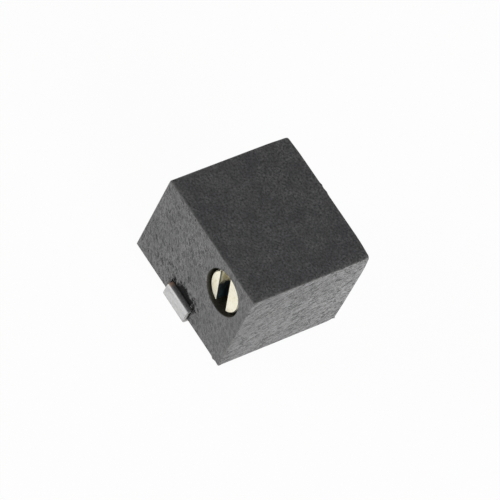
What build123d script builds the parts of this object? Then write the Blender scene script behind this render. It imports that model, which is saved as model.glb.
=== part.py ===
from build123d import *
import math
import os

# Side-adjusted trimming potentiometer for surface mounting, in millimetres.
# A slotted brass worm screw turns a small worm wheel under the roof of a moulded housing, and the wheel
# drags a spring wiper round a resistive arc on a ceramic plate. Three hooked leads carry the part.
# +Z is up from the circuit board, the screw is reached from -Y, and the origin is on the board.

# Housing
wall = 0.36
ledge = 0.12
roof = 0.40
edge_radius = 0.06
inner_corner = 0.08
stand_off = 0.19
chamber_height = 2.105
bore_diameter = 1.65
bore_top_wall = 0.275
bore_side_wall = 0.40
boss_wall = 0.15
wheel_side_gap = 0.602
overrun = 0.2

# Adjusting screw, from its slotted head inwards
head_recess = 0.10
head_gap = 0.10
head_length = 0.62
head_chamfer = 0.04
slot_width = 0.52
slot_depth = 0.45
slot_tilt = 17.4
slot_offset = 0.09
collar_length = 0.12
neck_diameter = 0.84
flange_diameter = 1.26
flange_length = 0.22
shank_diameter = 0.60
tail_length = 0.788
pivot_diameter = 0.44
pivot_length = 0.24
pivot_clearance = 0.02
end_play = 0.03

# Rubber ring on the screw
seal_section = 0.34
seal_flat = 0.24
seal_bulge = 0.05
seal_clearance = 0.02

# Forked retaining plate
clip_thickness = 0.16
clip_clearance = 0.02
clip_leg_rise = 0.45
clip_corner = 0.10

# Worm and wheel
worm_pitch = 0.44
worm_diameter = 0.96
worm_run_out = 0.22
thread_lap = 0.03
wheel_teeth = 15
pressure_angle = 20.0
addendum_share = 0.80
root_gap_share = 0.22
tooth_backlash = 0.035
wheel_face = 0.62
hub_diameter = 1.20
carrier_thickness = 0.24
spindle_diameter = 0.70
spindle_clearance = 0.02
spindle_short = 0.10
spindle_chamfer = 0.06

# Travel of the wiper and its stops
wiper_travel_angle = 288.0
stop_margin_angle = 2.0
rib_height = 0.26
lug_depth = 0.29
lug_clearance = 0.08

# Ceramic plate and printed layers
plate_thickness = 0.635
plate_clearance = 0.04
film_thickness = 0.02
seat_clearance = 0.01
track_radius = 1.00
track_width = 0.36
track_margin_angle = 6.0
track_end_angle = 15.0
trace_width = 0.22
trace_gap = 0.15
collector_diameter = 0.60
edge_pad = 0.32

# Spring wiper
wiper_lift = 0.34
wiper_thickness = 0.06
wiper_gap = 0.01
wiper_ring_diameter = 1.44
wiper_ring_hole = 0.92
wiper_arm_width = 0.30
wiper_slit = 0.05
wiper_flat = 0.14
wiper_toe = 0.09
wiper_bend = 0.08

# Hooked leads
lead_rise = 0.46
lead_width = 1.20
lead_thickness = 0.12
lead_overhang = 0.15
lead_inset = 1.10
lead_foot = 0.62
lead_upper_bend = 0.07
lead_lower_bend = 0.08
lead_pitch = 2.54
notch_gap = 0.04
notch_headroom = 0.15
solder_fillet = 0.10
solder_margin = 0.08

# Resin in the base
resin_floor = 0.16

# Worm and wheel geometry: the worm's axial section is a rack, and the wheel's teeth are involutes to it
module = worm_pitch / math.pi
addendum = addendum_share * module
dedendum = addendum + root_gap_share * module
worm_radius = worm_diameter / 2
worm_tip = worm_radius + addendum
worm_root = worm_radius - dedendum
wheel_radius = wheel_teeth * module / 2
wheel_tip = wheel_radius + addendum
wheel_root = wheel_radius - dedendum
centre_distance = worm_radius + wheel_radius
mesh_half_length = math.sqrt(wheel_tip**2 - (centre_distance - worm_tip)**2)
worm_length = 2 * (mesh_half_length + worm_run_out)
half_tooth = (worm_pitch - tooth_backlash) / 4

# Stations along the screw, from the face of its head
bore_radius = bore_diameter / 2
head_radius = bore_radius - head_gap
groove_radius = bore_radius - seal_section - 2 * seal_clearance
neck_radius = neck_diameter / 2
head_back = head_length
groove_back = head_back + seal_flat + 2 * (seal_bulge + seal_clearance)
collar_back = groove_back + collar_length
neck_back = collar_back + clip_thickness + 2 * clip_clearance
flange_back = neck_back + flange_length
worm_back = flange_back + worm_length
shank_back = worm_back + tail_length
pivot_back = shank_back + pivot_length

# The housing is sized to take the screw lengthwise, and the screw and wheel side by side
upper_wall = wall + ledge
body_depth = head_recess + shank_back + end_play + upper_wall
body_width = bore_side_wall + bore_radius + centre_distance + wheel_tip + wheel_side_gap + upper_wall
chamber_width = body_width - 2 * upper_wall
chamber_depth = body_depth - 2 * upper_wall
pocket_width = body_width - 2 * wall
pocket_depth = body_depth - 2 * wall

# Heights above the board
lead_top = stand_off + lead_rise
plate_bottom = lead_top + film_thickness
plate_top = plate_bottom + plate_thickness
track_top = plate_top + film_thickness
ledge_z = track_top + seat_clearance
roof_z = ledge_z + chamber_height
top_z = roof_z + roof
carrier_bottom = track_top + wiper_lift
wheel_top = roof_z - end_play
resin_bottom = stand_off + resin_floor

# Axes of the screw and the wheel
screw_x = body_width / 2 - bore_side_wall - bore_radius
screw_z = top_z - bore_top_wall - bore_radius
head_y = head_recess - body_depth / 2
boss_end = head_y + collar_back
wheel_x = screw_x - centre_distance
wheel_y = head_y + flange_back + worm_length / 2
screw_frame = Plane(origin=(screw_x, head_y, screw_z), x_dir=(1, 0, 0), z_dir=(0, 1, 0))
wiper_middle = 90.0
stop_half = (180 - wiper_travel_angle / 2 - stop_margin_angle) / 2
track_half = wiper_travel_angle / 2 + track_margin_angle

# Leads by number: where each stands along X, and the side of the housing that it leaves
leads = {1: (lead_pitch / 2, 1), 2: (0, -1), 3: (-lead_pitch / 2, 1)}


def polar(radius, degrees):
    """Point at a radius and angle."""
    turn = math.radians(degrees)
    return (radius * math.cos(turn), radius * math.sin(turn))


def axis_point(radius, degrees):
    """Point on the plate at a radius and angle round the wheel's axis."""
    x, y = polar(radius, degrees)
    return (wheel_x + x, wheel_y + y)


def upright(sketch, bottom, top):
    """Sketch raised as a prism between two heights."""
    return Pos(0, 0, bottom) * extrude(sketch, amount=top - bottom)


def ring_sector(inner, outer, middle, half):
    """Flat piece of a ring, half an angle to each side of its middle direction."""
    first = middle - half
    last = middle + half
    outside = ThreePointArc(polar(outer, first), polar(outer, middle), polar(outer, last))
    inside = ThreePointArc(polar(inner, last), polar(inner, middle), polar(inner, first))
    sides = [Line(outside @ 1, inside @ 0), Line(inside @ 1, outside @ 0)]
    return make_face(Curve() + [outside, inside] + sides)


def across_screw(y):
    """Plane square to the screw at a depth, facing the user."""
    return Plane(origin=(screw_x, y, screw_z), x_dir=(1, 0, 0), z_dir=(0, -1, 0))


def lead_frame(number):
    """Plane through the middle of a lead: first axis out of the housing's face, second axis up."""
    x, side = leads[number]
    return Plane(origin=(x, side * body_depth / 2, 0), x_dir=(0, side, 0), z_dir=(side, 0, 0))


def housing():
    """Moulded case, open below, with the screw's bore, the wheel's spindle and the stop lug inside."""
    case = upright(Rectangle(body_width, body_depth), stand_off, top_z)
    rounded = case.edges().filter_by(Axis.Z) + case.faces().sort_by(Axis.Z)[-1].edges()
    case = fillet(rounded, edge_radius)
    case -= upright(RectangleRounded(chamber_width, chamber_depth, inner_corner), ledge_z, roof_z)
    case -= upright(RectangleRounded(pocket_width, pocket_depth, inner_corner), stand_off, ledge_z)

    fill_width = chamber_width / 2 - screw_x
    fill_height = roof_z - screw_z
    boss_length = boss_end + chamber_depth / 2
    boss = Circle(bore_radius + boss_wall)
    boss += Pos(fill_width / 2, fill_height / 2) * Rectangle(fill_width, fill_height)
    case += extrude(across_screw(boss_end) * boss, amount=boss_length + ledge)
    bore_length = boss_end + body_depth / 2
    case -= extrude(across_screw(boss_end) * Circle(bore_radius), amount=bore_length + overrun)

    pivot_end = head_y + pivot_back + end_play
    pivot_hole = Circle(pivot_diameter / 2 + pivot_clearance)
    case -= extrude(across_screw(pivot_end) * pivot_hole, amount=pivot_end - chamber_depth / 2 + end_play)

    spindle_bottom = carrier_bottom + spindle_short
    spindle = upright(Circle(spindle_diameter / 2), spindle_bottom, roof_z + ledge)
    spindle = chamfer(spindle.edges().group_by(Axis.Z)[0], spindle_chamfer)
    lug_inner = hub_diameter / 2 + lug_clearance
    lug_sector = ring_sector(lug_inner, wheel_root, wiper_middle + 180, stop_half)
    lug = upright(lug_sector, roof_z - lug_depth, roof_z + ledge)
    case += Pos(wheel_x, wheel_y) * (spindle + lug)

    notch_width = lead_width + 2 * notch_gap
    notch = Rectangle(notch_width, upper_wall + overrun)
    for x, side in leads.values():
        across_wall = Pos(x, side * (body_depth - upper_wall + overrun) / 2)
        case -= upright(across_wall * notch, stand_off, lead_top + notch_headroom)
    return case


def worm_thread():
    """Right-hand worm on +Z: a straight-flanked rack tooth carried along a helix round the root cylinder.

    The tooth starts and ends its own width inside the worm's length, and half way along a space, not a
    crest, faces -X.
    """
    slope = math.tan(math.radians(pressure_angle))
    crest_half = half_tooth - addendum * slope
    sunk = worm_root - thread_lap
    foot_half = half_tooth + (worm_radius - sunk) * slope
    tooth = Polyline(
        (sunk, -foot_half), (worm_tip, -crest_half), (worm_tip, crest_half), (sunk, foot_half), close=True
    )
    helix_length = worm_length - 2 * foot_half
    helix = Helix(worm_pitch, helix_length, worm_radius)
    thread = sweep(Plane.XZ * make_face(tooth), path=helix, is_frenet=True)
    phase = -180 * helix_length / worm_pitch
    core = upright(Circle(worm_root), 0, worm_length)
    return core + Pos(0, 0, foot_half) * Rot(0, 0, phase) * thread


def adjusting_screw():
    """Turned brass screw: slotted head, ring groove, collar, neck, flange, worm, tail and pivot."""
    pivot_radius = pivot_diameter / 2
    shank_radius = shank_diameter / 2
    flange_radius = flange_diameter / 2
    outline = Polyline(
        (0, 0),
        (head_radius - head_chamfer, 0),
        (head_radius, head_chamfer),
        (head_radius, head_back),
        (groove_radius, head_back),
        (groove_radius, groove_back),
        (head_radius, groove_back),
        (head_radius, collar_back),
        (neck_radius, collar_back),
        (neck_radius, neck_back),
        (flange_radius, neck_back),
        (flange_radius, flange_back),
        (shank_radius, flange_back),
        (shank_radius, shank_back),
        (pivot_radius, shank_back),
        (pivot_radius, pivot_back),
        (0, pivot_back),
        close=True,
    )
    turned = revolve(Plane.XZ * make_face(outline), Axis.Z)
    turned += Pos(0, 0, flange_back) * worm_thread()
    slot = Rot(0, 0, -slot_tilt) * Pos(-slot_offset, 0) * Rectangle(slot_width, bore_diameter)
    turned -= extrude(slot, amount=slot_depth)
    return screw_frame * turned


def screw_seal():
    """Rubber ring squeezed into the screw's groove: flat inside and outside, with bulging flanks."""
    outer = bore_radius - seal_clearance
    inner = outer - seal_section
    half_flat = seal_flat / 2
    bulge = half_flat + seal_bulge
    middle = (outer + inner) / 2
    front = ThreePointArc((outer, -half_flat), (middle, -bulge), (inner, -half_flat))
    back = ThreePointArc((inner, half_flat), (middle, bulge), (outer, half_flat))
    section = make_face(Curve() + [front, Line(front @ 1, back @ 0), back, Line(back @ 1, front @ 0)])
    return screw_frame * Pos(0, 0, (head_back + groove_back) / 2) * revolve(Plane.XZ * section, Axis.Z)


def screw_retainer():
    """Forked steel plate that stands on the ceramic and straddles the screw's neck behind the bore."""
    half_width = chamber_width / 2 - screw_x - clip_clearance
    below = screw_z - ledge_z
    plate = Pos(0, (clip_leg_rise - below) / 2) * Rectangle(2 * half_width, clip_leg_rise + below)
    plate = fillet(plate.vertices(), clip_corner)
    throat = neck_radius + clip_clearance
    plate -= Circle(throat) + Pos(0, clip_leg_rise / 2) * Rectangle(2 * throat, clip_leg_rise)
    return extrude(across_screw(boss_end + clip_clearance + clip_thickness) * plate, amount=clip_thickness)


def wheel_section():
    """Outline of the wheel's teeth: each flank is an arc through the involute at its pitch and tip circles,
    and through its foot below the base circle."""
    base = wheel_radius * math.cos(math.radians(pressure_angle))

    def involute(radius):
        pressure = math.acos(base / max(base, radius))
        return math.degrees(math.tan(pressure) - pressure)

    def half_angle(radius):
        return math.degrees(half_tooth / wheel_radius) + involute(wheel_radius) - involute(radius)

    step = 360 / wheel_teeth
    foot = half_angle(wheel_root)
    outline = Curve()
    for tooth in range(wheel_teeth):
        middle = tooth * step
        rise, fall = [
            ThreePointArc(*[
                polar(radius, middle + side * half_angle(radius))
                for radius in (wheel_root, wheel_radius, wheel_tip)
            ])
            for side in (-1, 1)
        ]
        tip = ThreePointArc(rise @ 1, polar(wheel_tip, middle), fall @ 1)
        next_foot = polar(wheel_root, middle + step - foot)
        root = ThreePointArc(fall @ 0, polar(wheel_root, middle + step / 2), next_foot)
        outline += [rise, tip, fall, root]
    return make_face(outline).face()


def worm_wheel():
    """Moulded wheel: helical teeth, hub on the spindle, stop rib on top and carrier disc below."""
    lead_slope = worm_pitch / (2 * math.pi * worm_radius)
    twist = math.degrees(lead_slope * wheel_face / wheel_radius)
    teeth_bottom = screw_z - wheel_face / 2
    teeth_top = screw_z + wheel_face / 2
    section = wheel_section()
    lower_end = Pos(0, 0, teeth_bottom) * Rot(0, 0, -twist / 2) * section
    upper_end = Pos(0, 0, teeth_top) * Rot(0, 0, twist / 2) * section
    wheel = loft([lower_end, upper_end], ruled=True)
    wheel += upright(Circle(hub_diameter / 2), carrier_bottom, wheel_top)
    wheel += upright(Circle(wheel_root), carrier_bottom, carrier_bottom + carrier_thickness)
    spindle_hole = spindle_diameter / 2 + spindle_clearance
    rib = ring_sector(spindle_hole, wheel_root, wiper_middle, stop_half)
    wheel += upright(rib, teeth_bottom, teeth_top + rib_height)
    wheel -= upright(Circle(spindle_hole), carrier_bottom, wheel_top)
    return Pos(wheel_x, wheel_y) * wheel


def wiper_arm(start, contact, direction):
    """Bent spring strip in the upright plane of the wiper, from its ring down to a flat on the plate."""
    ring_z = carrier_bottom - wiper_thickness / 2
    contact_z = track_top + wiper_gap + wiper_thickness / 2
    heel = contact - direction * wiper_flat / 2
    toe = contact + direction * wiper_flat / 2
    shoulder = start + direction * wiper_toe
    path = FilletPolyline(
        (start, ring_z),
        (shoulder, ring_z),
        (heel, contact_z),
        (toe, contact_z),
        (toe + direction * wiper_toe, contact_z + wiper_toe),
        radius=wiper_bend,
    )
    strip = extrude(Plane.YZ * trace(path, wiper_thickness), amount=wiper_arm_width / 2, both=True)
    reach = abs(toe - shoulder) + wiper_toe + wiper_thickness
    slit = Pos(0, shoulder + direction * reach / 2) * Rectangle(wiper_slit, reach)
    return strip - upright(slit, track_top, carrier_bottom)


def wiper_spring():
    """Spring ring under the wheel with one forked arm on the arc and one on the centre contact."""
    outer = wiper_ring_diameter / 2
    inner = wiper_ring_hole / 2
    spring = upright(Circle(outer) - Circle(inner), carrier_bottom - wiper_thickness, carrier_bottom)
    ring_middle = (outer + inner) / 2
    spring += wiper_arm(ring_middle, track_radius, 1)
    spring += wiper_arm(-ring_middle, 0, 1)
    return Pos(wheel_x, wheel_y) * spring


def ceramic_substrate():
    """Ceramic plate that closes the chamber under the housing's ledge."""
    clear = 2 * plate_clearance
    return upright(Rectangle(pocket_width - clear, pocket_depth - clear), plate_bottom, plate_top)


def printed(sketch):
    """Sketch as a printed layer on top of the ceramic plate."""
    return upright(sketch, plate_top, track_top)


def resistive_track():
    """Resistive arc round the wheel's axis, open towards the screw's face."""
    inner = track_radius - track_width / 2
    outer = track_radius + track_width / 2
    return Pos(wheel_x, wheel_y) * printed(ring_sector(inner, outer, wiper_middle, track_half))


def edge_wrap(number):
    """Conductor carried from the top of the plate over its edge to the pad above a lead."""
    edge = -wall - plate_clearance
    pad_end = -lead_inset - solder_fillet - solder_margin
    outline = Polyline(
        (edge - edge_pad, track_top),
        (edge + film_thickness, track_top),
        (edge + film_thickness, lead_top),
        (pad_end, lead_top),
        (pad_end, plate_bottom),
        (edge, plate_bottom),
        (edge, plate_top),
        (edge - edge_pad, plate_top),
        close=True,
    )
    return extrude(lead_frame(number) * make_face(outline), amount=lead_width / 2, both=True)


def printed_line(*points):
    """Printed strip with rounded corners along a run of points."""
    strip = Sketch()
    for first, last in zip(points, points[1:]):
        strip += trace(Line(first, last), trace_width)
        strip += Pos(*last) * Circle(trace_width / 2)
    return strip


def collector_conductor():
    """Centre contact under the wheel's axis, led out through the gap of the arc to the front lead."""
    plate_front = -pocket_depth / 2 + plate_clearance
    line = printed_line((wheel_x, plate_front + edge_pad / 2), (wheel_x, wheel_y))
    contact = Pos(wheel_x, wheel_y) * Circle(collector_diameter / 2)
    return edge_wrap(2) + printed(line + contact)


def end_conductor(number):
    """End of the resistive arc, led round the outside of the arc to a rear lead."""
    hand = leads[number][0] / abs(leads[number][0])
    inner = track_radius - track_width / 2
    outer = track_radius + track_width / 2
    end_middle = wiper_middle - hand * (track_half + track_end_angle / 2)
    end_pad = Pos(wheel_x, wheel_y) * ring_sector(inner, outer, end_middle, track_end_angle / 2)
    lane_radius = outer + trace_gap + trace_width / 2
    lane = wheel_x + hand * lane_radius
    start = axis_point(track_radius, end_middle)
    turn = axis_point(lane_radius, end_middle)
    plate_rear = pocket_depth / 2 - plate_clearance
    line = printed_line(start, turn, (lane, turn[1]), (lane, plate_rear - edge_pad / 2))
    return edge_wrap(number) + printed(end_pad + line)


def terminal(number):
    """Tinned lead: flat under the plate, bent down outside the housing and hooked in under it."""
    half = lead_thickness / 2
    leg = lead_overhang - half
    path = FilletPolyline(
        (-lead_inset, lead_top - half),
        (leg, lead_top - half),
        (leg, half),
        (-lead_foot, half),
        radius=[lead_upper_bend, lead_lower_bend],
    )
    strip = lead_frame(number) * trace(path, lead_thickness)
    return extrude(strip, amount=lead_width / 2, both=True)


def solder_joint(number):
    """Hollow fillet of solder between the inner end of a lead and its pad."""
    corner = (-lead_inset, lead_top)
    pad_point = (-lead_inset - solder_fillet, lead_top)
    lead_point = (-lead_inset, lead_top - solder_fillet)
    hollow_x, hollow_z = polar(solder_fillet, 45)
    middle = (pad_point[0] + hollow_x, lead_point[1] + hollow_z)
    curve = ThreePointArc(pad_point, middle, lead_point)
    section = make_face(Curve() + [Line(corner, pad_point), curve, Line(lead_point, corner)])
    return extrude(lead_frame(number) * section, amount=lead_width / 2, both=True)


def base_seal():
    """Resin cast round the leads under the plate."""
    resin = upright(RectangleRounded(pocket_width, pocket_depth, inner_corner), resin_bottom, lead_top)
    for number in leads:
        resin -= terminal(number) + solder_joint(number)
    return resin


pieces = {
    "housing": housing(),
    "adjusting_screw": adjusting_screw(),
    "screw_seal": screw_seal(),
    "screw_retainer": screw_retainer(),
    "worm_wheel": worm_wheel(),
    "wiper_spring": wiper_spring(),
    "ceramic_substrate": ceramic_substrate(),
    "resistive_track": resistive_track(),
    "collector_conductor": collector_conductor(),
    "base_seal": base_seal(),
}
for number in leads:
    pieces[f"terminal_{number}"] = terminal(number)
    pieces[f"solder_joint_{number}"] = solder_joint(number)
for number in (1, 3):
    pieces[f"end_conductor_{number}"] = end_conductor(number)

os.makedirs("parts", exist_ok=True)
for name, piece in pieces.items():
    export_step(piece, f"parts/{name}.step")
print(f"housing {body_width:.3f} x {body_depth:.3f} x {top_z - stand_off:.3f}, top at {top_z:.3f}")
print(f"screw axis x {screw_x:.4f} z {screw_z:.4f}, wheel axis x {wheel_x:.4f} y {wheel_y:.4f}")
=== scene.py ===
import math

import bpy
import numpy as np
from mathutils import Matrix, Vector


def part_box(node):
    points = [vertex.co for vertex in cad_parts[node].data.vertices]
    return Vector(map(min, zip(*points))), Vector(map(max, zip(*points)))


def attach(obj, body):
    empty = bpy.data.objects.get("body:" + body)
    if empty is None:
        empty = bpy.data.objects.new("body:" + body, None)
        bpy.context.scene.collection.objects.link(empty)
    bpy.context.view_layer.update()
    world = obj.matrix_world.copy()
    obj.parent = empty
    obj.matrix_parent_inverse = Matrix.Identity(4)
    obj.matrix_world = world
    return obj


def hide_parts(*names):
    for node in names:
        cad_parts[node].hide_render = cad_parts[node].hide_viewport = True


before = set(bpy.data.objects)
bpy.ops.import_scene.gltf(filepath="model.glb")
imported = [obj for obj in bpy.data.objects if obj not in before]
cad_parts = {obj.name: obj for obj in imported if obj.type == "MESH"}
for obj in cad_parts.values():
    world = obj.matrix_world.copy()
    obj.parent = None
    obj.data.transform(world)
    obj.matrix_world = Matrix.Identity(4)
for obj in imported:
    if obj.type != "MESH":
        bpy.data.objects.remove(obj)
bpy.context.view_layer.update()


# Case moulding: a black glass-filled box, open below, pressed in a hot mould in one shot.
# It carries the screw's bore at the front and a blind pivot hole at the rear, hides the wheel's spindle and its
# stop lug, and has three gaps in its bottom rim for the leads. Lengths in this file are millimetres.
case_low, case_high = (np.array(corner) * 1000 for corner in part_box("housing"))
case_wall, case_ledge, case_roof = 0.36, 0.12, 0.40
ledge_height = 1.335
corner_radius, ragged_radius, widest_radius = 0.045, 0.085, 0.16
bore_radius, bore_collar, bore_fade = 0.825, 0.975, 1.03
screw_x, screw_z = 1.274945, 2.74
bore_end, bore_square = -1.155133, 0.12
pivot_radius, pivot_fade, pivot_end = 0.24, 0.30, 2.134867
wheel_x, wheel_y = -0.255477, 0.171043
spindle_radius, spindle_fade, spindle_end, spindle_bevel = 0.35, 0.50, 1.765, 0.06
lug_inner, lug_outer, lug_half_width, lug_half_angle, lug_depth = 0.68, 0.907, 0.23, math.radians(17), 0.29
gap_half, gap_top = 0.64, 0.80
lead_places = {1: (1.27, 1), 2: (0.0, -1), 3: (-1.27, 1)}
ragged_across, ragged_down = 0.2, 0.15
ragged_waves = np.array([(7.1, 0.0), (17.3, 1.0), (29.0, 0.0)])
soft_reach, flash_depth, face_blend, bore_lip = 0.5, 0.075, 0.02, 0.03
mesh_step, slack, far = 0.085, 0.01, 99.0


def rulings(marks, step):
    """Lines across one axis: every mark, and even steps no longer than step from each mark to the next."""
    marks = np.unique(np.round(marks, 5))
    gaps = np.diff(marks)
    counts = np.maximum(1, np.ceil(gaps / step - 1e-6).astype(int))
    place = np.arange(counts.sum()) - np.repeat(np.cumsum(counts) - counts, counts)
    return np.append(np.repeat(marks[:-1], counts) + place * np.repeat(gaps / counts, counts), marks[-1])


def skin(solid, lines):
    """Skin of a block map: wherever a filled cell meets an empty one, the square between them, facing the empty side.
    Neighbours are compared along each axis in turn, and each corner is kept once."""
    shape = [len(line) for line in lines]
    units = np.eye(3, dtype=int)
    squares = []
    for axis in range(3):
        pad = [(1, 1) if other == axis else (0, 0) for other in range(3)]
        change = np.diff(np.pad(solid, pad).astype(int), axis=axis)
        across, up = units[(axis + 1) % 3], units[(axis + 2) % 3]
        corners = np.array([0 * across, across, across + up, up])
        for turn, order in ((-1, corners), (1, corners[::-1])):
            at = np.argwhere(change == turn)[:, None, :] + order
            squares.append(np.ravel_multi_index(tuple(np.moveaxis(at, 2, 0)), shape))
    used, squares = np.unique(np.concatenate(squares), return_inverse=True)
    places = np.unravel_index(used, shape)
    return np.stack([line[at] for line, at in zip(lines, places)], axis=1), squares.reshape(-1, 4)


def to_circle(across, up, full, fade):
    """Shift that bends squares about a centre into circles: a point keeps its direction and its larger offset becomes
    its distance. It is whole out to full and fades to nothing at fade."""
    square = np.maximum(np.abs(across), np.abs(up))
    share = np.clip((fade - square) / (fade - full), 0, 1)
    scale = square / np.maximum(np.hypot(across, up), 1e-9) - 1
    return across * scale * share, up * scale * share


def swell(points, centre, reach, shift):
    """Smooth bump: points move by shift times a bell curve of their distance from a centre."""
    distance = np.linalg.norm(points - np.array(centre), axis=1)
    return points + np.exp(-((distance / reach) ** 2))[:, None] * np.array(shift)


def case_blocks():
    """Block map of the case: the outer box less its chamber, pocket, lead gaps, bore and pivot hole, and with the
    bore's collar, the spindle and the lug added, all still square. Its lines lie closer towards the outer edges."""
    top = case_high[2]
    roof_under = top - case_roof
    round_off = widest_radius * np.array([0, 0.1, 1 - math.tan(math.radians(30)), 1 - math.tan(math.radians(15)), 1])
    inner = np.array([case_wall, case_wall + case_ledge])
    sides = [np.concatenate([low + round_off, low + inner, high - round_off, high - inner])
             for low, high in zip(case_low[:2], case_high[:2])]
    rings = np.array([bore_radius, bore_collar, bore_fade, pivot_radius, pivot_fade])
    rings = np.concatenate([-rings, rings])
    posts = np.array([-spindle_fade, -spindle_radius, -lug_half_width, lug_half_width, spindle_radius, spindle_fade])
    gaps = [x + side * gap_half for x, _ in lead_places.values() for side in (-1, 1)]
    depths = [bore_end - bore_square, bore_end, pivot_end, wheel_y - lug_inner, wheel_y - lug_outer]
    levels = [case_low[2], gap_top, ledge_height, spindle_end, spindle_end + spindle_bevel, roof_under - lug_depth,
              roof_under]
    lines = [
        rulings(np.concatenate([sides[0], screw_x + rings, wheel_x + posts, gaps]), mesh_step),
        rulings(np.concatenate([sides[1], wheel_y + posts, depths]), mesh_step),
        rulings(np.concatenate([levels, top - round_off, screw_z + rings]), mesh_step),
    ]
    middles = [(line[1:] + line[:-1]) / 2 for line in lines]

    def block(*spans):
        """Cells whose middles lie within one span of each axis."""
        x, y, z = [(middle > low) & (middle < high) for middle, (low, high) in zip(middles, spans)]
        return x[:, None, None] & y[None, :, None] & z[None, None, :]

    def about(middle, half):
        """Span of half a width to either side of a middle."""
        return middle - half, middle + half

    everywhere, front = (-far, far), (-far, bore_end)
    pocket = [(low + case_wall, high - case_wall) for low, high in zip(case_low[:2], case_high[:2])]
    chamber = [(low + case_ledge, high - case_ledge) for low, high in pocket]
    solid = block(everywhere, everywhere, everywhere)
    solid &= ~block(*pocket, (-far, ledge_height))
    solid &= ~block(*chamber, (ledge_height, roof_under))
    solid |= block(about(screw_x, bore_collar), front, about(screw_z, bore_collar))
    solid |= block((screw_x, pocket[0][1]), front, (screw_z, roof_under))
    solid &= ~block(about(screw_x, bore_radius), front, about(screw_z, bore_radius))
    solid &= ~block(about(screw_x, pivot_radius), (chamber[1][1] - slack, pivot_end), about(screw_z, pivot_radius))
    solid |= block(about(wheel_x, spindle_radius), about(wheel_y, spindle_radius), (spindle_end, roof_under + slack))
    solid |= block(about(wheel_x, lug_half_width), (wheel_y - lug_outer, wheel_y - lug_inner),
                   (roof_under - lug_depth, roof_under + slack))
    for x, side in lead_places.values():
        wall = (-far, pocket[1][0]) if side < 0 else (pocket[1][1], far)
        solid &= ~block(about(x, gap_half), wall, (-far, gap_top))
    return skin(solid, lines)


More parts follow.
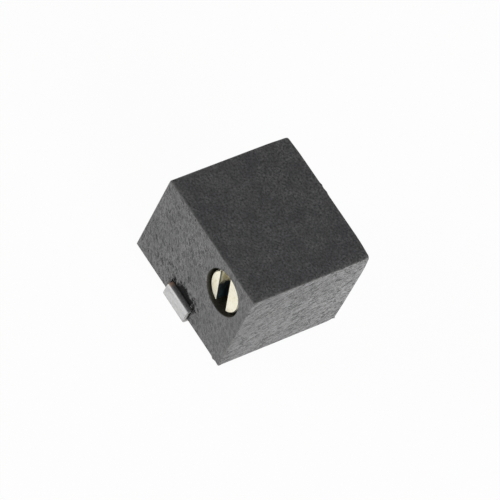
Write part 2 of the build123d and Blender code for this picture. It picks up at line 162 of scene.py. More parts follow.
def case_surface():
    """The case's skin with its square bore, pivot hole and spindle bent round, its lug bent to an arc, and its outer
    edges rounded: a point more than the corner's radius outside the box shrunk by that radius is drawn back to it.
    Also gives how far each point lies on a rounded edge, on the right side, on top and in the bore, from 0 to 1."""
    points, squares = case_blocks()
    x, y, z = points.T.copy()
    right, rear, top = case_high
    front, bottom = case_low[1:]
    roof_under = top - case_roof

    along_bore = np.clip((bore_end - y) / bore_square, 0, 1)
    collar_x, collar_z = to_circle(x - screw_x, z - screw_z, bore_collar, bore_fade)
    at_pivot = (y > rear - case_wall - case_ledge - slack) & (y < pivot_end + slack)
    pivot_x, pivot_z = to_circle(x - screw_x, z - screw_z, pivot_radius, pivot_fade)
    below_roof = (z > spindle_end - slack) & (z < roof_under + slack)
    post_x, post_y = to_circle(x - wheel_x, y - wheel_y, spindle_radius, spindle_fade)
    points[:, 0] += along_bore * collar_x + at_pivot * pivot_x + below_roof * post_x
    points[:, 1] += below_roof * post_y
    points[:, 2] += along_bore * collar_z + at_pivot * pivot_z
    on_tip = (np.abs(z - spindle_end) < slack) & (np.hypot(x - wheel_x, y - wheel_y) < spindle_fade)
    drawn_in = on_tip * spindle_bevel / spindle_radius
    points[:, 0] -= drawn_in * (points[:, 0] - wheel_x)
    points[:, 1] -= drawn_in * (points[:, 1] - wheel_y)

    out = wheel_y - y
    on_lug = (z > roof_under - lug_depth - slack) & (z < roof_under + slack)
    on_lug &= np.abs(x - wheel_x) < lug_half_width + slack
    on_lug &= (out > lug_inner - slack) & (out < lug_outer + slack)
    angle = (x - wheel_x) / lug_half_width * lug_half_angle
    points[:, 0] = np.where(on_lug, wheel_x + out * np.sin(angle), points[:, 0])
    points[:, 1] = np.where(on_lug, wheel_y - out * np.cos(angle), points[:, 1])

    # The edge between the top and the right side is ragged, and four corners are softer than the rest.
    ragged = np.clip((x - right) / ragged_across + 1.5, 0, 1) * np.clip((z - top) / ragged_down + 1.5, 0, 1)
    wobble = 0.4 * np.sin(y[:, None] * ragged_waves[:, 0] + ragged_waves[:, 1]).sum(axis=1)
    radius = corner_radius + ragged * (ragged_radius - corner_radius) * (0.7 + 0.5 * wobble)
    soft_corners = [
        ((-right, rear, top), 0.065),
        ((right, rear, top), 0.10),
        ((right, rear, bottom), 0.03),
        ((right, front, bottom), 0.05),
    ]
    for corner, extra in soft_corners:
        radius += extra * np.exp(-(np.linalg.norm(points - np.array(corner), axis=1) / soft_reach) ** 2)
    low = case_low[None] + radius[:, None]
    low[:, 2] = -far
    high = case_high[None] - radius[:, None]
    core = np.clip(points, low, high)
    reach = np.linalg.norm(points - core, axis=1)
    outer = reach > radius * 1.0001
    edge = np.where(outer, np.clip((reach / radius - 1) / 0.3, 0, 1), 0)
    to_side = np.minimum(right - np.abs(x), rear - np.abs(y))
    edge = np.maximum(edge, 0.6 * np.clip(1 - to_side / widest_radius, 0, 1) * (z > top - slack))
    points = np.where(outer[:, None], core + (points - core) * (radius / np.maximum(reach, 1e-9))[:, None], points)

    # Burrs on the edges: the middle of each, its reach, and how far it stands out. Flash hangs over the front lead.
    burrs = [
        ((right, front, bottom), 0.07, (0.03, -0.03, -0.01)),
        ((right - 0.31, front, bottom), 0.06, (0.0, -0.015, -0.04)),
        ((right, rear - 0.14, bottom), 0.12, (0.0, 0.0, 0.06)),
        ((right, rear, bottom), 0.05, (0.03, 0.03, -0.04)),
        ((-0.48, rear, top), 0.06, (0.0, 0.022, 0.012)),
        ((-0.20, rear, top), 0.07, (0.0, 0.02, 0.012)),
    ]
    for centre, size, shift in burrs:
        points = swell(points, centre, size, shift)
    over_lead = (np.abs(x) < gap_half - 2 * slack) & (y < front + flash_depth) & (np.abs(z - gap_top) < slack)
    points[:, 2] += over_lead * (0.022 * np.sin(x * 19 + 0.5) + 0.018 * np.sin(x * 43 + 2) - 0.012)

    beyond = np.stack([x - right, front - y, z - top, y - rear, -right - x])
    on_right = np.clip((beyond[0] - beyond[1:].max(axis=0)) / face_blend + 0.5, 0, 1)
    on_top = np.clip((beyond[2] - beyond[[0, 1, 3, 4]].max(axis=0)) / face_blend + 0.5, 0, 1)
    from_axis = np.hypot(points[:, 0] - screw_x, points[:, 2] - screw_z)
    bored = (from_axis < bore_radius + slack) & (y < bore_end + slack)
    in_bore = np.where(bored, np.clip((y - front) / bore_lip, 0, 1), 0)
    return points, squares, {"edge": edge, "on_right": on_right, "on_top": on_top, "in_bore": in_bore}


def new_piece(name, points, faces, sharp=35):
    """Mesh object at the origin from points in millimetres, smooth but for edges sharper than an angle in degrees."""
    mesh = bpy.data.meshes.new(name)
    mesh.from_pydata((np.asarray(points) * 0.001).tolist(), [], faces)
    mesh.validate()
    mesh.shade_smooth()
    mesh.set_sharp_from_angle(angle=math.radians(sharp))
    made = bpy.data.objects.new(name, mesh)
    bpy.context.scene.collection.objects.link(made)
    return made


def mark(made, name, values):
    """Stores one number for each point of a piece, for its material to read."""
    field = made.data.attributes.new(name, "FLOAT", "POINT")
    field.data.foreach_set("value", np.asarray(values, np.float32))


class Finish:
    """A node material in the making: most methods add nodes and give the socket that these feed."""

    def __init__(self, name):
        """Starts with the shader and the piece's own coordinates, which move with it."""
        self.material = bpy.data.materials.new(name)
        self.material.use_nodes = True
        self.tree = self.material.node_tree
        self.shader = self.tree.nodes["Principled BSDF"]
        self.place = self.add("TexCoord").outputs["Object"]

    def add(self, kind, inputs=(), **settings):
        """One node of a kind with its settings. Each input is wired if it is a socket, and else written."""
        made = self.tree.nodes.new("ShaderNode" + kind)
        for key, value in settings.items():
            setattr(made, key, value)
        for key, value in dict(inputs).items():
            if isinstance(value, bpy.types.NodeSocket):
                self.tree.links.new(value, made.inputs[key])
            else:
                made.inputs[key].default_value = value
        return made

    def at(self, scale=(1, 1, 1), centre=(0, 0, 0), turn=(0, 0, 0)):
        """Position in millimetres from a centre, turned by degrees, then stretched along each axis."""
        shift = [-part for part in centre]
        moved = self.add("Mapping", {"Vector": self.place, "Scale": (1000, 1000, 1000), "Location": shift})
        turned = self.add("Mapping", {"Vector": moved.outputs[0], "Rotation": [math.radians(part) for part in turn]})
        return self.add("Mapping", {"Vector": turned.outputs[0], "Scale": scale}).outputs[0]

    def noise(self, scale, detail=3.0, rough=0.55, distortion=0.0, at=None):
        """Cloudy noise about 0.5, with scale clouds to the millimetre."""
        inputs = {"Vector": at or self.at(), "Scale": scale, "Detail": detail, "Roughness": rough,
                  "Distortion": distortion}
        return self.add("TexNoise", inputs).outputs[0]

    def fibres(self, sets):
        """Thin lines where each of several stretched noises passes its middle value, the brightest at each point."""
        lines = 0.0
        for scale, turn in sets:
            strands = self.noise(1.0, 2.0, 0.6, 0.3, self.at(scale=scale, turn=turn))
            off_middle = self.reckon("ABSOLUTE", self.reckon("SUBTRACT", strands, 0.5))
            lines = self.reckon("MAXIMUM", self.spread(off_middle, 0.035, 0.0), lines)
        return lines

    def waves(self, scale, direction, distortion=0.0, detail=2.0, at=None, kind="BANDS"):
        """Soft ridges across a direction, or rings about it."""
        inputs = {"Vector": at or self.at(), "Scale": scale, "Distortion": distortion, "Detail": detail,
                  "Detail Scale": 1.5}
        made = self.add("TexWave", inputs, wave_type=kind)
        setattr(made, "bands_direction" if kind == "BANDS" else "rings_direction", direction)
        return made.outputs[1]

    def spread(self, value, low, high, to_low=0.0, to_high=1.0):
        """Straight-line map of one range to another, held at its ends."""
        inputs = {"Value": value, "From Min": low, "From Max": high, "To Min": to_low, "To Max": to_high}
        return self.add("MapRange", inputs).outputs[0]

    def reckon(self, operation, first, second=0.0):
        """One step of arithmetic."""
        return self.add("Math", {0: first, 1: second}, operation=operation).outputs[0]

    def mix(self, share, first, second):
        """First colour, or second where the share is 1."""
        made = self.add("Mix", {0: share}, data_type="RGBA")
        for socket, value in ((made.inputs[6], first), (made.inputs[7], second)):
            if isinstance(value, bpy.types.NodeSocket):
                self.tree.links.new(value, socket)
            else:
                socket.default_value = (*value, 1)
        return made.outputs[2]

    def axis(self, letter):
        """Position along one axis in millimetres."""
        return self.add("SeparateXYZ", {0: self.at()}).outputs[letter]

    def field(self, name):
        """Number that was marked on the piece's points."""
        return self.add("Attribute", attribute_name=name).outputs["Fac"]

    def shine(self, **values):
        """Sets the shader's sockets: a number or a colour is written there, and a socket is wired to it."""
        for key, value in values.items():
            socket = self.shader.inputs[key.replace("_", " ").title().replace("Ior", "IOR")]
            if isinstance(value, bpy.types.NodeSocket):
                self.tree.links.new(value, socket)
            else:
                socket.default_value = (*value, 1) if isinstance(value, tuple) else value

    def relief(self, height, depth):
        """Bumps of a depth in millimetres."""
        made = self.add("Bump", {"Height": height, "Distance": depth * 0.001, "Strength": 1.0})
        self.tree.links.new(made.outputs[0], self.shader.inputs["Normal"])


def case_finish():
    """Black moulded resin full of glass: fine pale specks on top, wispy drag marks on the screw's face, fine wavy
    flow lines across the right side, paler edges that are partly wear and partly a painted highlight, painted shade
    in the bore and a painted shadow in the gap above the front lead. The painted shadow is made metallic, which takes
    the pale sheen off its black."""
    finish = Finish("case_moulding")
    grain = finish.noise(13.0, 3.0, 0.65)
    clouds = finish.noise(0.8, 3.0, 0.6)
    patches = finish.noise(2.4, 3.0, 0.6)
    wisps = finish.noise(1.0, 7.0, 0.74, 0.5, at=finish.at(scale=(11, 11, 3.0), turn=(0, 40, 0)))
    flow = finish.noise(1.0, 7.0, 0.74, 0.6, at=finish.at(scale=(7, 2.6, 9), turn=(-20, 0, 0)))
    drawn = finish.fibres([((9, 9, 2.4), (0, 12, 0)), ((8, 8, 3.0), (0, 33, 0)), ((7, 7, 3.6), (0, 62, 0))])
    swept = finish.fibres([((8, 2.0, 9), (-4, 0, 0)), ((8, 2.4, 8), (-22, 0, 0)), ((8, 3.2, 7), (-48, 0, 0))])
    on_right = finish.field("on_right")
    dark = finish.mix(finish.spread(grain, 0.34, 0.68), (0.016, 0.016, 0.016), (0.155, 0.155, 0.156))
    dark = finish.mix(finish.spread(patches, 0.40, 0.62, 0.0, 0.45), dark, (0.032, 0.032, 0.034))
    dark = finish.mix(finish.spread(clouds, 0.55, 0.38, 0.0, 0.4), dark, (0.040, 0.040, 0.047))
    calm = finish.spread(finish.axis("X"), -0.8, 1.8, 0.0, 0.32)
    pale = finish.mix(finish.spread(wisps, 0.39, 0.63), (0.006, 0.006, 0.006), (0.158, 0.158, 0.157))
    pale = finish.mix(finish.reckon("MULTIPLY", drawn, 0.9), pale, (0.235, 0.235, 0.235))
    pale = finish.mix(calm, pale, (0.152, 0.152, 0.152))
    lined = finish.mix(finish.spread(flow, 0.42, 0.59), (0.021, 0.021, 0.021), (0.197, 0.197, 0.195))
    gather = finish.spread(finish.axis("Y"), -2.4, 2.2, 0.55, 1.0)
    lined = finish.mix(finish.reckon("MULTIPLY", swept, gather), lined, (0.43, 0.43, 0.43))
    colour = finish.mix(on_right, pale, lined)
    colour = finish.mix(finish.field("on_top"), colour, dark)
    colour = finish.mix(finish.spread(clouds, 0.38, 0.7, 0.0, 0.3), colour, (0.070, 0.070, 0.072))
    # Paler edges: partly wear, partly a painted highlight along the rounded edges and the top's outer band.
    worn_and_highlit = finish.reckon("MULTIPLY", finish.field("edge"), finish.spread(finish.noise(5.0), 0.35, 0.65))
    colour = finish.mix(finish.reckon("MULTIPLY", worn_and_highlit, 0.5), colour, (0.22, 0.215, 0.205))
    # Painted shadow: a black patch in the gap above the front lead, made metallic so that it keeps no sheen.
    gap_shadow_place = finish.at(centre=(0.06, -2.375, gap_top), scale=(1.35, 3, 2.6))
    from_gap_shadow = finish.add("VectorMath", {0: gap_shadow_place}, operation="LENGTH").outputs["Value"]
    darker_patch = finish.reckon("SUBTRACT", 1.0, from_gap_shadow)
    darker_patch = finish.reckon("ADD", darker_patch, finish.spread(finish.noise(7.0, 4.0, 0.7), 0.25, 0.75, -0.8, 0.8))
    painted_gap_shadow = finish.spread(darker_patch, -0.05, 0.36)
    colour = finish.mix(painted_gap_shadow, colour, (0.010, 0.010, 0.010))
    # Painted shade: the bore's wall is darkened to olive-black, as the shade in the recess would do.
    bore_shade = finish.mix(grain, (0.004, 0.004, 0.003), (0.050, 0.047, 0.030))
    colour = finish.mix(finish.field("in_bore"), colour, bore_shade)
    height = finish.reckon("ADD", grain, finish.reckon("MULTIPLY", finish.mix(on_right, drawn, swept), 0.25))
    finish.shine(base_color=colour, metallic=painted_gap_shadow, roughness=finish.spread(grain, 0.3, 0.7, 0.64, 0.52),
                 specular_ior_level=0.3)
    finish.relief(height, 0.02)
    return finish.material


case_points, case_squares, case_fields = case_surface()
case = new_piece("case_moulding", case_points, case_squares.tolist(), 40)
for field_name, field_values in case_fields.items():
    mark(case, field_name, field_values)
case.data.materials.append(case_finish())
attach(case, "case")
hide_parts("housing")


# Adjusting screw: turned from brass rod in one piece, with a sawn slot across its head.
# Behind the head come a groove for the rubber ring, a neck for the forked plate, and the worm, then a tail that
# ends in a pivot. It lies in the case's bore and turns in it.
head_y = -2.275133
head_radius, head_bevel = 0.725, 0.04
slot_half, slot_depth, slot_offset, slot_tilt = 0.26, 0.45, 0.09, math.radians(17.4)
head_back, groove_back, collar_back, neck_back, flange_back = 0.62, 1.00, 1.12, 1.32, 1.54
groove_radius, neck_radius, flange_radius = 0.445, 0.42, 0.63
worm_length, worm_pitch = 1.812354, 0.44
worm_radius, worm_tip, worm_root = 0.48, 0.592045, 0.337143
worm_half_tooth, worm_foot, worm_slope = 0.10125, 0.1641, math.tan(math.radians(20))
shank_radius, shank_back, tail_radius, tail_back = 0.30, 4.140354, 0.22, 4.380354
face_columns, face_rows, worm_rings = 59, 21, 110


def worm_profile(station, angle):
    """Worm's radius by station and angle: a straight-flanked tooth about the nearest turn of a right-hand helix whose
    crest points along +X half way along the worm, cut off at the tip and root and left out past the thread's ends."""
    past = station - flange_back - worm_length / 2 - worm_pitch * angle / (2 * math.pi)
    offset = (past + worm_pitch / 2) % worm_pitch - worm_pitch / 2
    crest = station - offset - flange_back
    threaded = (crest > worm_foot) & (crest < worm_length - worm_foot)
    tooth = np.clip(worm_radius + (worm_half_tooth - np.abs(offset)) / worm_slope, worm_root, worm_tip)
    return np.where(threaded, tooth, worm_root)


def screw_surface():
    """The screw as a face and a skin. The face is a height over columns that run along the slot, each as long as its
    chord of the head; its rim is then carried back as rings whose radius depends on station and, in the worm, angle.
    Also gives how deep each point of the face lies in the slot, from 0 to 1, and its place along the slot."""
    face_radius = head_radius - head_bevel
    spread = face_radius * np.cos(np.radians(np.linspace(4, 176, face_columns)))
    # Columns crowd at the slot's walls, over the foot's fillet and the worn lip, and keep clear of the even ones.
    lips = slot_half + np.array([-0.012, -0.003, 0.0, 0.006, 0.014])
    spread = spread[np.abs(np.abs(spread + slot_offset) - slot_half) > 0.022]
    across = np.sort(np.concatenate([spread, lips - slot_offset, -lips - slot_offset]))[::-1]
    from_slot = np.abs(across + slot_offset)
    depth = np.interp(from_slot, [0, *lips], [slot_depth, slot_depth, slot_depth - 0.012, 0.012, 0.003, 0.0])
    along = np.linspace(-1, 1, face_rows)
    chord = np.sqrt(face_radius**2 - across**2)
    columns, rows = len(across), face_rows
    face = np.stack(np.broadcast_arrays(across[:, None], chord[:, None] * along, depth[:, None]), axis=2)
    number = np.arange(columns * rows).reshape(columns, rows)
    face_squares = np.stack([number[:-1, :-1], number[1:, :-1], number[1:, 1:], number[:-1, 1:]], axis=2).reshape(-1, 4)
    rim = np.concatenate([number[:, -1], number[-1, -2:0:-1], number[::-1, 0], number[0, 1:-1]])

    flat = face.reshape(-1, 3)
    rim_across, rim_along, rim_depth = flat[rim].T
    angle = np.arctan2(rim_along, rim_across) - slot_tilt
    worm_steps = np.linspace(flange_back, flange_back + worm_length, worm_rings)
    profile = [
        (head_radius, head_back), (groove_radius, head_back), (groove_radius, groove_back),
        (head_radius, groove_back), (head_radius, collar_back), (neck_radius, collar_back),
        (neck_radius, neck_back), (flange_radius, neck_back), (flange_radius, flange_back),
    ]
    tail = [
        (shank_radius, worm_steps[-1]), (shank_radius, shank_back),
        (tail_radius, shank_back), (tail_radius, tail_back),
    ]
    bevel_station = np.maximum(rim_depth, head_bevel)
    stations = [bevel_station + (head_back - bevel_station) * share for share in (0, 0.3, 0.65)]
    radii = [np.full_like(angle, head_radius)] * 3
    stations += [np.full_like(angle, station) for _, station in profile]
    radii += [np.full_like(angle, radius) for radius, _ in profile]
    stations += [np.full_like(angle, station) for station in worm_steps]
    radii += [worm_profile(station, angle) for station in worm_steps]
    stations += [np.full_like(angle, station) for _, station in tail]
    radii += [np.full_like(angle, radius) for radius, _ in tail]
    stations, radii = np.array(stations), np.array(radii)
    skin_points = np.stack([radii * np.cos(angle), radii * np.sin(angle), stations], axis=2)

    turn = np.array([[math.cos(slot_tilt), -math.sin(slot_tilt)], [math.sin(slot_tilt), math.cos(slot_tilt)]])
    flat = np.column_stack([flat[:, :2] @ turn, flat[:, 2]])
    local = np.concatenate([flat, skin_points.reshape(-1, 3)])
    rings = np.concatenate([rim[None], len(flat) + np.arange(stations.size).reshape(stations.shape)])
    after = np.roll(rings, -1, axis=1)
    skin_squares = np.stack([rings[:-1], after[:-1], after[1:], rings[1:]], axis=2).reshape(-1, 4)
    points = np.column_stack([screw_x + local[:, 0], head_y + local[:, 2], screw_z - local[:, 1]])
    faces = np.concatenate([face_squares, skin_squares]).tolist() + [rings[-1].tolist()]
    in_slot = np.zeros(len(points))
    in_slot[: len(flat)] = np.repeat(depth / slot_depth, rows)
    along_slot = np.zeros(len(points))
    along_slot[: len(flat)] = np.tile(along, columns)
    return points, faces, in_slot, along_slot


def brass_finish():
    """Free-cutting brass: pale yellow, ringed by the lathe about the screw's axis, and dulled in the slot, which is
    darkened by painted shade with a teal tint except for a patch of painted light at its upper end."""
    finish = Finish("screw_brass")
    rings = finish.waves(9.0, "Y", 0.6, 2.0, at=finish.at(centre=(screw_x, 0, screw_z)), kind="RINGS")
    tarnish = finish.noise(2.2, 5.0, 0.62)
    fine = finish.noise(24.0, 3.0)
    specks = finish.noise(11.0, 2.0)
    colour = finish.mix(finish.spread(tarnish, 0.35, 0.7), (0.95, 0.92, 0.79), (0.90, 0.85, 0.66))
    colour = finish.mix(finish.spread(fine, 0.4, 0.75, 0.0, 0.25), colour, (0.66, 0.58, 0.38))
    colour = finish.mix(finish.spread(specks, 0.54, 0.70, 0.0, 0.45), colour, (0.56, 0.50, 0.33))
    sunk = finish.field("in_slot")
    # Painted light and shade in the slot: teal-black shade over most of it and near its lip, a painted lit patch at its
    # upper end.
    wall = finish.spread(sunk, 0.01, 0.03)
    uneven = finish.spread(finish.noise(4.0, 3.0), 0.3, 0.7, -0.16, 0.16)
    shadow = finish.spread(finish.reckon("ADD", finish.field("along_slot"), uneven), -0.24, -0.06)
    lip = finish.spread(sunk, 0.24, 0.12)
    painted_slot_shade = finish.mix(finish.spread(finish.noise(3.0), 0.44, 0.64), (0.008, 0.010, 0.012), (0.022, 0.058, 0.070))
    painted_slot_light = finish.mix(finish.spread(finish.noise(6.0, 3.0), 0.42, 0.62), (0.90, 0.85, 0.62), (0.62, 0.56, 0.38))
    slot_light_and_shade = finish.mix(finish.reckon("MAXIMUM", shadow, finish.reckon("MULTIPLY", lip, 0.85)), painted_slot_light, painted_slot_shade)
    colour = finish.mix(wall, colour, slot_light_and_shade)
    rough = finish.spread(tarnish, 0.3, 0.7, 0.30, 0.46)
    finish.shine(base_color=colour, metallic=finish.spread(wall, 0.0, 1.0, 1.0, 0.15),
                 roughness=finish.reckon("ADD", rough, finish.reckon("MULTIPLY", wall, 0.25)))
    finish.relief(finish.reckon("ADD", rings, finish.reckon("MULTIPLY", fine, 0.6)), 0.0025)
    return finish.material


screw_points, screw_faces, screw_in_slot, screw_along_slot = screw_surface()
screw = new_piece("adjusting_screw_turned", screw_points, screw_faces, 32)
mark(screw, "in_slot", screw_in_slot)
mark(screw, "along_slot", screw_along_slot)
screw.data.materials.append(brass_finish())
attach(screw, "screw")
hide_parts("adjusting_screw")


# Rubber ring in the screw's groove: moulded from olive-black nitrile rubber and rolled over the head.
# It is squeezed against the bore and keeps washing fluid out of the case.
def dress(node, material):
    """Gives a CAD node, whose shape stays, its finish."""
    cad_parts[node].data.materials.clear()
    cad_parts[node].data.materials.append(material)


def rubber_finish():
    """Dull olive-black rubber, faintly dusty and pebbled."""
    finish = Finish("seal_rubber")
    dust = finish.noise(5.0, 4.0)
    grain = finish.noise(30.0, 2.0)
    colour = finish.mix(finish.spread(dust, 0.4, 0.75), (0.022, 0.023, 0.014), (0.070, 0.066, 0.040))
    finish.shine(base_color=colour, roughness=finish.spread(grain, 0.3, 0.7, 0.6, 0.8), specular_ior_level=0.35)
    finish.relief(grain, 0.004)
    return finish.material


dress("screw_seal", rubber_finish())


# Forked retaining plate: blanked from stainless strip and pushed up round the screw's neck behind the bore.
# It stands on the ceramic plate and takes the screw's end thrust.
def steel_finish():
    """Rolled stainless strip: grey, with fine lines along the rolling direction."""
    finish = Finish("retainer_steel")
    rolled = finish.noise(1.0, 4.0, at=finish.at(scale=(2, 2, 40)))
    darker_patch = finish.noise(2.0, 3.0)
    colour = finish.mix(finish.spread(darker_patch, 0.35, 0.7), (0.56, 0.56, 0.55), (0.42, 0.42, 0.42))
    finish.shine(base_color=colour, metallic=1.0, roughness=finish.spread(rolled, 0.3, 0.7, 0.28, 0.42))
    finish.relief(rolled, 0.002)
    return finish.material


dress("screw_retainer", steel_finish())


# Worm wheel: moulded from natural nylon, with fifteen helical teeth, a hub that turns on the case's spindle and
# a rib on top that meets the case's stop lug at each end of the travel.
def nylon_finish():
    """Natural nylon: milky ivory, a little yellower in patches, with a satin mould surface."""
    finish = Finish("wheel_nylon")
    milk = finish.noise(1.6, 4.0)
    grain = finish.noise(26.0, 3.0)
    colour = finish.mix(finish.spread(milk, 0.35, 0.7), (0.74, 0.70, 0.58), (0.66, 0.60, 0.45))
    finish.shine(base_color=colour, roughness=finish.spread(grain, 0.3, 0.7, 0.42, 0.56), subsurface_weight=0.08,
                 subsurface_scale=0.0003)
    finish.relief(grain, 0.003)
    return finish.material


dress("worm_wheel", nylon_finish())


# Spring wiper: photo-etched from thin precious-metal strip and bent, fixed under the wheel by its ring.
# One forked arm rides on the resistive arc and the other on the centre contact.
def wiper_finish():
    """Palladium alloy strip: pale warm gold, with drawn lines and slightly darker patches."""
    finish = Finish("wiper_alloy")
    drawn = finish.noise(1.0, 3.0, at=finish.at(scale=(40, 3, 3)))
    warm = finish.noise(3.0, 3.0)
    colour = finish.mix(finish.spread(warm, 0.35, 0.7), (0.78, 0.70, 0.52), (0.62, 0.54, 0.40))
    finish.shine(base_color=colour, metallic=1.0, roughness=finish.spread(drawn, 0.3, 0.7, 0.2, 0.36))
    finish.relief(drawn, 0.0015)
    return finish.material


dress("wiper_spring", wiper_finish())


# Ceramic plate: pressed and fired alumina that closes the chamber from below.
# It carries the printed layers on top and, over its edges, the pads for the leads.
def alumina_finish():
    """Fired alumina: off-white, finely granular, with faint grey specks."""
    finish = Finish("alumina")
    grain = finish.noise(18.0, 4.0, 0.7)
    blotch = finish.noise(1.2, 3.0)
    colour = finish.mix(finish.spread(blotch, 0.35, 0.7), (0.80, 0.79, 0.75), (0.72, 0.71, 0.67))
    colour = finish.mix(finish.spread(grain, 0.62, 0.8, 0.0, 0.5), colour, (0.50, 0.49, 0.47))
    finish.shine(base_color=colour, roughness=finish.spread(grain, 0.3, 0.7, 0.55, 0.7))
    finish.relief(grain, 0.004)
    return finish.material


dress("ceramic_substrate", alumina_finish())


# Printed layers: a resistive glass ink fired as an arc, and palladium-silver conductor ink that joins its ends
# and its centre contact to the leads over the plate's edges.
def printed_finish(name, light, dark, metal, rough):
    """Fired ink: two tones in a screen-printed mottle, with the mesh of the screen just showing in its surface."""
    finish = Finish(name)
    mottle = finish.noise(9.0, 4.0, 0.65)
    screen = finish.reckon("MULTIPLY", finish.waves(6.0, "X"), finish.waves(6.0, "Y"))
    colour = finish.mix(finish.spread(mottle, 0.35, 0.7), light, dark)
    finish.shine(base_color=colour, metallic=metal, roughness=finish.spread(mottle, 0.3, 0.7, rough, rough + 0.14))
    finish.relief(finish.reckon("ADD", finish.reckon("MULTIPLY", screen, 0.5), mottle), 0.004)
    return finish.material


dress("resistive_track", printed_finish("resistive_ink", (0.035, 0.036, 0.040), (0.060, 0.058, 0.056), 0.0, 0.45))
conductor_ink = printed_finish("conductor_ink", (0.62, 0.61, 0.58), (0.50, 0.49, 0.46), 1.0, 0.42)
for printed in ("collector_conductor", "end_conductor_1", "end_conductor_3"):
    dress(printed, conductor_ink)


# Hooked leads: stamped from copper strip tinned on both faces, soldered to the plate's pads at their inner ends.
# Each leaves the case through its gap, bends down and hooks in under the case; its cut sides show some copper.
lead_height, lead_half, lead_half_width, lead_corner = 0.65, 0.06, 0.60, 0.022
lead_inset, lead_foot, lead_overhang = 1.10, 0.62, 0.15
lead_bends = (0.07, 0.08)
end_thinned, end_narrowed = 0.80, 0.976
run_steps, foot_steps, bend_steps, corner_steps = 10, 9, 13, 5


def lead_path():
    """Middle line of a lead in the plane out of the case's face and up: runs joined by two quarter arcs. Gives each
    point and the direction square to the line there."""
    leg = lead_overhang - lead_half
    height = lead_height - lead_half
    upper, lower = lead_bends
    turn = np.radians(np.linspace(0, 90, bend_steps))
    inner = np.linspace(-lead_inset, leg - upper, run_steps)[:-1]
    foot = np.linspace(leg - lower, -lead_foot, foot_steps)[1:]
    out = np.concatenate([inner, leg - upper + upper * np.sin(turn), leg - lower + lower * np.cos(turn), foot])
    up = np.concatenate([np.full_like(inner, height), height - upper + upper * np.cos(turn),
                         lead_half + lower - lower * np.sin(turn), np.full_like(foot, lead_half)])
    heading = np.concatenate([0 * inner, -turn, -np.pi / 2 - turn, np.full_like(foot, -np.pi)])
    return out, up, -np.sin(heading), np.cos(heading)


def lead_section():
    """Stamped section: a flat rectangle with rounded corners, as offsets across the width and through the strip."""
    corner = np.radians(np.linspace(0, 90, corner_steps))
    turns = np.concatenate([corner + quarter * np.pi / 2 for quarter in range(4)])
    width = np.repeat([1, -1, -1, 1], corner_steps) * (lead_half_width - lead_corner) + lead_corner * np.cos(turns)
    through = np.repeat([1, 1, -1, -1], corner_steps) * (lead_half - lead_corner) + lead_corner * np.sin(turns)
    return width, through


def lead_surface(x, side):
    """Section carried along the path, its two ends drawn in a little before they are closed. Also gives which points
    lie on the cut sides and on the upper face, from 0 to 1, and the place across the strip, from -1 to 1."""
    out, up, square_out, square_up = lead_path()
    width, through = lead_section()
    steps, around = len(out), len(width)
    thin, narrow = np.ones((2, steps, 1))
    thin[[0, -1]], narrow[[0, -1]] = end_thinned, end_narrowed
    through, wide = through * thin, width * narrow
    along_out = out[:, None] + square_out[:, None] * through
    height = up[:, None] + square_up[:, None] * through
    face = case_high[1]
    points = np.stack([x + side * wide, side * (face + along_out), height], axis=2).reshape(-1, 3)
    number = np.arange(steps * around).reshape(steps, around)
    after = np.roll(number, -1, axis=1)
    squares = np.stack([number[:-1], number[1:], after[1:], after[:-1]], axis=2).reshape(-1, 4)
    cut = np.broadcast_to(np.abs(width) > lead_half_width - lead_corner * 0.8, (steps, around)).astype(float).ravel()
    shaded_top = (np.clip((square_up[:, None] - 0.6) / 0.2, 0, 1) * (through > lead_half * 0.3)).ravel()
    across = np.broadcast_to(width / lead_half_width, (steps, around)).ravel()
    faces = squares.tolist() + [number[0].tolist(), number[-1, ::-1].tolist()]
    return points, faces, {"cut": cut, "shaded_top": shaded_top, "across": across}


def tinned_finish():
    """Matte tin plate, light grey and finely crystalline. Painted shade darkens the top of the strip where it leaves
    the case and turns black in the case's gap, and brown copper shows at one edge of that top and on the cut sides."""
    finish = Finish("tinned_lead")
    crystal = finish.noise(14.0, 4.0, 0.65)
    smear = finish.noise(1.0, 4.0, at=finish.at(scale=(1.2, 6, 6)))
    colour = finish.mix(finish.spread(smear, 0.38, 0.64), (0.52, 0.52, 0.515), (0.39, 0.39, 0.39))
    colour = finish.mix(finish.spread(crystal, 0.42, 0.66, 0.0, 0.7), colour, (0.63, 0.63, 0.625))
    colour = finish.mix(finish.reckon("MULTIPLY", finish.field("cut"), 0.5), colour, (0.26, 0.25, 0.24))
    # Painted shade on the top of the strip, with copper at one edge, and black painted shade where it runs into the
    # gap.
    painted_top_shade = finish.mix(finish.spread(crystal, 0.4, 0.7), (0.080, 0.080, 0.080), (0.14, 0.14, 0.14))
    bare_end = finish.spread(finish.field("across"), 0.67, 0.87)
    painted_top_shade = finish.mix(bare_end, painted_top_shade, (0.22, 0.145, 0.105))
    shaded_in_gap = finish.spread(finish.reckon("ABSOLUTE", finish.axis("Y")), 2.335, 2.305)
    painted_top_shade = finish.mix(shaded_in_gap, painted_top_shade, (0.010, 0.010, 0.010))
    colour = finish.mix(finish.field("shaded_top"), colour, painted_top_shade)
    finish.shine(base_color=colour, metallic=0.25, roughness=finish.spread(crystal, 0.3, 0.7, 0.52, 0.66))
    finish.relief(finish.reckon("ADD", crystal, smear), 0.006)
    return finish.material


tin = tinned_finish()
for number, (lead_x, lead_side) in lead_places.items():
    lead_points, lead_faces, lead_fields = lead_surface(lead_x, lead_side)
    lead = new_piece(f"hooked_lead_{number}", lead_points, lead_faces, 50)
    for field_name, field_values in lead_fields.items():
        mark(lead, field_name, field_values)
    lead.data.materials.append(tin)
    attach(lead, "case")
    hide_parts(f"terminal_{number}")


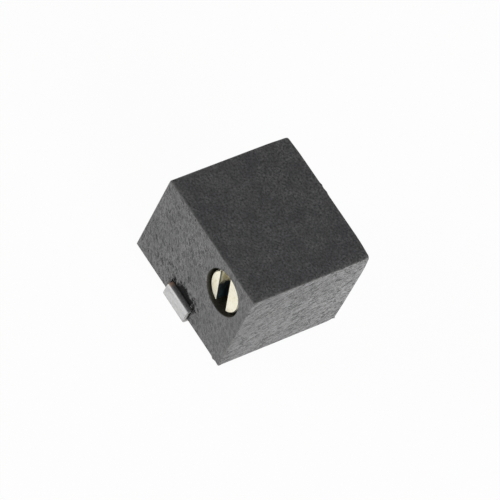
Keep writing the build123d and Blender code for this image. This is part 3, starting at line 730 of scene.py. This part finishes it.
# Solder under the plate: a hollow fillet at the inner end of each lead, reflowed before the base is sealed.
# It joins the lead to the printed layer that comes down over the plate's edge.
def solder_finish():
    """Reflowed solder: bright grey with soft ripples and dull frost."""
    finish = Finish("solder")
    frost = finish.noise(7.0, 4.0)
    colour = finish.mix(finish.spread(frost, 0.35, 0.7), (0.66, 0.66, 0.67), (0.50, 0.50, 0.51))
    finish.shine(base_color=colour, metallic=1.0, roughness=finish.spread(frost, 0.3, 0.7, 0.22, 0.42))
    finish.relief(frost, 0.006)
    return finish.material


solder = solder_finish()
for number in lead_places:
    dress(f"solder_joint_{number}", solder)


# Base seal: grey-green epoxy poured round the leads into the open base and cured, flush under the plate.
# It holds the plate and the leads in the case and keeps washing fluid out.
def resin_finish():
    """Cured epoxy: dark grey-green, glossy, with small bubbles and a wavy skin."""
    finish = Finish("base_resin")
    skin_waves = finish.noise(1.4, 3.0)
    bubbles = finish.add("TexVoronoi", {"Vector": finish.at(), "Scale": 5.0}).outputs["Distance"]
    colour = finish.mix(finish.spread(skin_waves, 0.35, 0.7), (0.060, 0.064, 0.058), (0.095, 0.098, 0.088))
    colour = finish.mix(finish.spread(bubbles, 0.10, 0.04), colour, (0.15, 0.15, 0.14))
    finish.shine(base_color=colour, roughness=finish.spread(skin_waves, 0.3, 0.7, 0.25, 0.4))
    finish.relief(finish.reckon("SUBTRACT", skin_waves, finish.spread(bubbles, 0.12, 0.0, 0.0, 0.3)), 0.03)
    return finish.material


dress("base_seal", resin_finish())


# Studio: a pale floor under soft light that is stronger round the horizon than overhead, two low soft boxes, and a
# long lens that looks down on the corner between the screw's face and the right side.
def floor_finish():
    """Near-white floor: mostly its own white where it is seen or mirrored, so that only a soft shadow is left."""
    own_white = 0.96
    finish = Finish("floor_white")
    grain = finish.noise(0.05, 2.0)
    finish.shine(base_color=finish.mix(finish.spread(grain, 0.3, 0.7), (0.84, 0.84, 0.84), (0.86, 0.86, 0.86)),
                 roughness=0.9, specular_ior_level=0.1)
    light_path = finish.add("LightPath")
    seen = finish.reckon("MAXIMUM", light_path.outputs["Is Camera Ray"], light_path.outputs["Is Glossy Ray"])
    seen = finish.reckon("MAXIMUM", seen, light_path.outputs["Is Transmission Ray"])
    glow = finish.add("Emission", {"Color": (1, 1, 1, 1), "Strength": 1.0})
    share = finish.reckon("MULTIPLY", seen, own_white)
    blend = finish.add("MixShader", {0: share, 1: finish.shader.outputs[0], 2: glow.outputs[0]})
    finish.tree.links.new(blend.outputs[0], finish.tree.nodes["Material Output"].inputs["Surface"])
    return finish.material


floor_half, floor_under = 600.0, -0.02
floor_corners = [(x * floor_half, y * floor_half, floor_under) for x, y in ((-1, -1), (1, -1), (1, 1), (-1, 1))]
floor = new_piece("floor", floor_corners, [(0, 1, 2, 3)])
floor.data.materials.append(floor_finish())

world = bpy.data.worlds.new("studio")
bpy.context.scene.world = world
world.use_nodes = True
sky = world.node_tree.nodes["Background"]
sky_direction = world.node_tree.nodes.new("ShaderNodeTexCoord")
sky_height = world.node_tree.nodes.new("ShaderNodeSeparateXYZ")
sky_shade = world.node_tree.nodes.new("ShaderNodeValToRGB")
world.node_tree.links.new(sky_direction.outputs["Generated"], sky_height.inputs[0])
world.node_tree.links.new(sky_height.outputs["Z"], sky_shade.inputs[0])
world.node_tree.links.new(sky_shade.outputs[0], sky.inputs["Color"])
horizon, overhead = sky_shade.color_ramp.elements
horizon.position, horizon.color = 0.0, (0.95, 0.95, 0.95, 1)
overhead.position, overhead.color = 0.75, (0.235, 0.235, 0.24, 1)
sky.inputs["Strength"].default_value = 0.85


def soft_box(name, place, size, power):
    """Square area lamp at a place in millimetres, facing the middle of the part."""
    lamp = bpy.data.lights.new(name, "AREA")
    lamp.size, lamp.energy = size * 0.001, power
    made = bpy.data.objects.new(name, lamp)
    bpy.context.scene.collection.objects.link(made)
    back = np.array(place) - np.array([0, 0, 1.8])
    back /= np.linalg.norm(back)
    side = np.cross([0, 0, 1], back)
    side /= np.linalg.norm(side)
    turned = np.column_stack([side, np.cross(back, side), back, np.array(place) * 0.001])
    made.matrix_world = Matrix([*turned.tolist(), [0, 0, 0, 1]])


soft_box("front_box", (-110, -190, 70), 120, 0.26)
soft_box("right_box", (210, -30, 80), 120, 0.34)

# The camera's place and lens come from a fit to the moulding's corners in the photo.
camera = bpy.data.objects.new("camera", bpy.data.cameras.new("camera"))
bpy.context.scene.collection.objects.link(camera)
camera.matrix_world = Matrix([
    (0.52834, -0.78162, 0.33154, 0.051253),
    (0.79068, 0.31070, -0.52754, -0.081731),
    (0.30932, 0.54086, 0.78217, 0.123041),
    (0, 0, 0, 1),
])
camera.data.lens, camera.data.sensor_width = 348.7, 36
camera.data.clip_start, camera.data.clip_end = 0.01, 10
bpy.context.scene.camera = camera
bpy.context.scene.view_settings.view_transform = "Standard"
